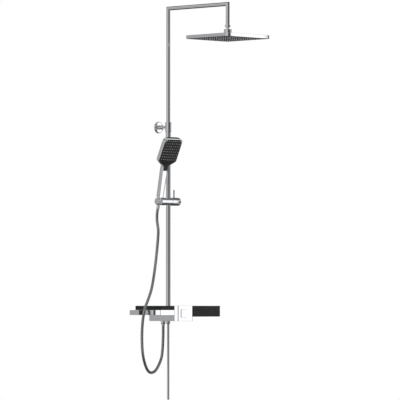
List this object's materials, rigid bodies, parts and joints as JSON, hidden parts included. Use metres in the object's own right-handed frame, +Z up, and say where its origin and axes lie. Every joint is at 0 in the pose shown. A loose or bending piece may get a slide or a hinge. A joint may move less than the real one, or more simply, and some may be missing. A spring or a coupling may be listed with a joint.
{
  "type": "rainfall shower column",
  "caption": "Wall-hung shower column: square-faced mixer with two shelves, telescopic riser and arm, square rain head on a ball joint, sliding holder with a handset on a hose.",
  "frame": {"origin": "The centre of the mixer's wall plate, on the wall: Z = 0 is the middle of the mixer block, X = 0 is the riser's plane.", "axes": "+Z up, +Y into the wall, +X to the right seen from the room; the column's front faces -Y."},
  "size_m": [0.5015, 0.64, 1.967],
  "materials": {
    "chrome": "polished chrome",
    "black_plastic": "satin black",
    "face": "satin black with soft nozzles",
    "brass": "turned brass",
    "steel": "plain stainless steel",
    "white_plastic": "smooth white",
    "rubber": "matt black rubber",
    "hose": "smooth silver skin over a braid"
  },
  "bodies": {
    "mixer": {"mixer_cover": "chrome", "valve_casting": "brass", "wall_plate": "steel", "thermostat_cartridge": "brass", "cartridge_nut": "brass", "left_shelf_cover": "black_plastic", "right_shelf_cover": "black_plastic", "right_wing": "chrome", "left_wing": "chrome", "lever_bush": "white_plastic", "riser_tube": "chrome", "bracket_sleeve": "chrome", "bracket_post": "chrome", "bracket_flange": "chrome", "outlet_stub": "brass", "hose_outlet_nut": "chrome", "lower_tube": "chrome", "lower_tube_nut": "chrome", "hose_lower": "hose"},
    "dial": {"temperature_dial": "chrome", "dial_stem": "brass"},
    "button": {"diverter_button": "chrome", "diverter_rod": "steel"},
    "lever": {"flow_lever": "chrome", "lever_inlay": "black_plastic", "lever_spindle": "brass"},
    "guide": {"guide_bush": "white_plastic"},
    "arm": {"arm_tube": "chrome", "ball_stem": "chrome"},
    "seal": {"ball_seal": "rubber"},
    "rain_head": {"head_socket": "chrome", "rain_head_shell": "chrome", "rain_nozzle_plate": "face"},
    "slider": {"slider_body": "chrome", "holder_axle": "steel", "hose_middle": "hose"},
    "knob": {"slider_knob": "chrome", "knob_pin": "chrome", "clamp_stud": "steel"},
    "holder": {"holder": "chrome", "holder_cap": "chrome"},
    "handset": {"handset_cone_nut": "chrome", "handset_shell": "chrome", "handset_face": "face", "hose_upper": "hose"}
  },
  "joints": [
    {"name": "temperature_turn", "type": "hinge", "parent": "mixer", "child": "dial", "pos_m": [0, -0.18, 0], "axis": [0, 1, 0], "range_deg": [-60, 60]},
    {"name": "button_press", "type": "slide", "parent": "dial", "child": "button", "axis": [0, 1, 0], "range_m": [0, 0.003], "stiffness_N_per_m": 600},
    {"name": "flow_turn", "type": "hinge", "parent": "mixer", "child": "lever", "pos_m": [-0.184, -0.09, 0.00435], "axis": [1, 0, 0], "range_deg": [0, 60]},
    {"name": "telescope_slide", "type": "slide", "parent": "mixer", "child": "guide", "axis": [0, 0, 1], "range_m": [-0.3, 0.2]},
    {"name": "arm_swivel", "type": "hinge", "parent": "guide", "child": "arm", "pos_m": [0, -0.072, 1.2], "axis": [0, 0, 1], "range_deg": [-60, 60]},
    {"name": "head_tilt_front", "type": "hinge", "parent": "arm", "child": "seal", "pos_m": [0, -0.49, 1.3877], "axis": [1, 0, 0], "range_deg": [-12, 12]},
    {"name": "head_tilt_side", "type": "hinge", "parent": "seal", "child": "rain_head", "pos_m": [0, -0.49, 1.3877], "axis": [0, 1, 0], "range_deg": [-12, 12]},
    {"name": "slider_slide", "type": "slide", "parent": "mixer", "child": "slider", "axis": [0, 0, 1], "range_m": [-0.35, 0.28], "deforming": ["hose_lower"]},
    {"name": "knob_turn", "type": "hinge", "parent": "slider", "child": "knob", "pos_m": [0.04, -0.072, 0.559], "axis": [1, 0, 0], "range_deg": [0, 90]},
    {"name": "holder_tilt", "type": "hinge", "parent": "slider", "child": "holder", "pos_m": [-0.065, -0.072, 0.559], "axis": [1, 0, 0], "range_deg": [-4, 25], "deforming": ["hose_middle"]},
    {"name": "handset_lift", "type": "slide", "parent": "holder", "child": "handset", "axis": [0, -0.2079, 0.9781], "range_m": [0, 0.12], "deforming": ["hose_upper"]}
  ]
}
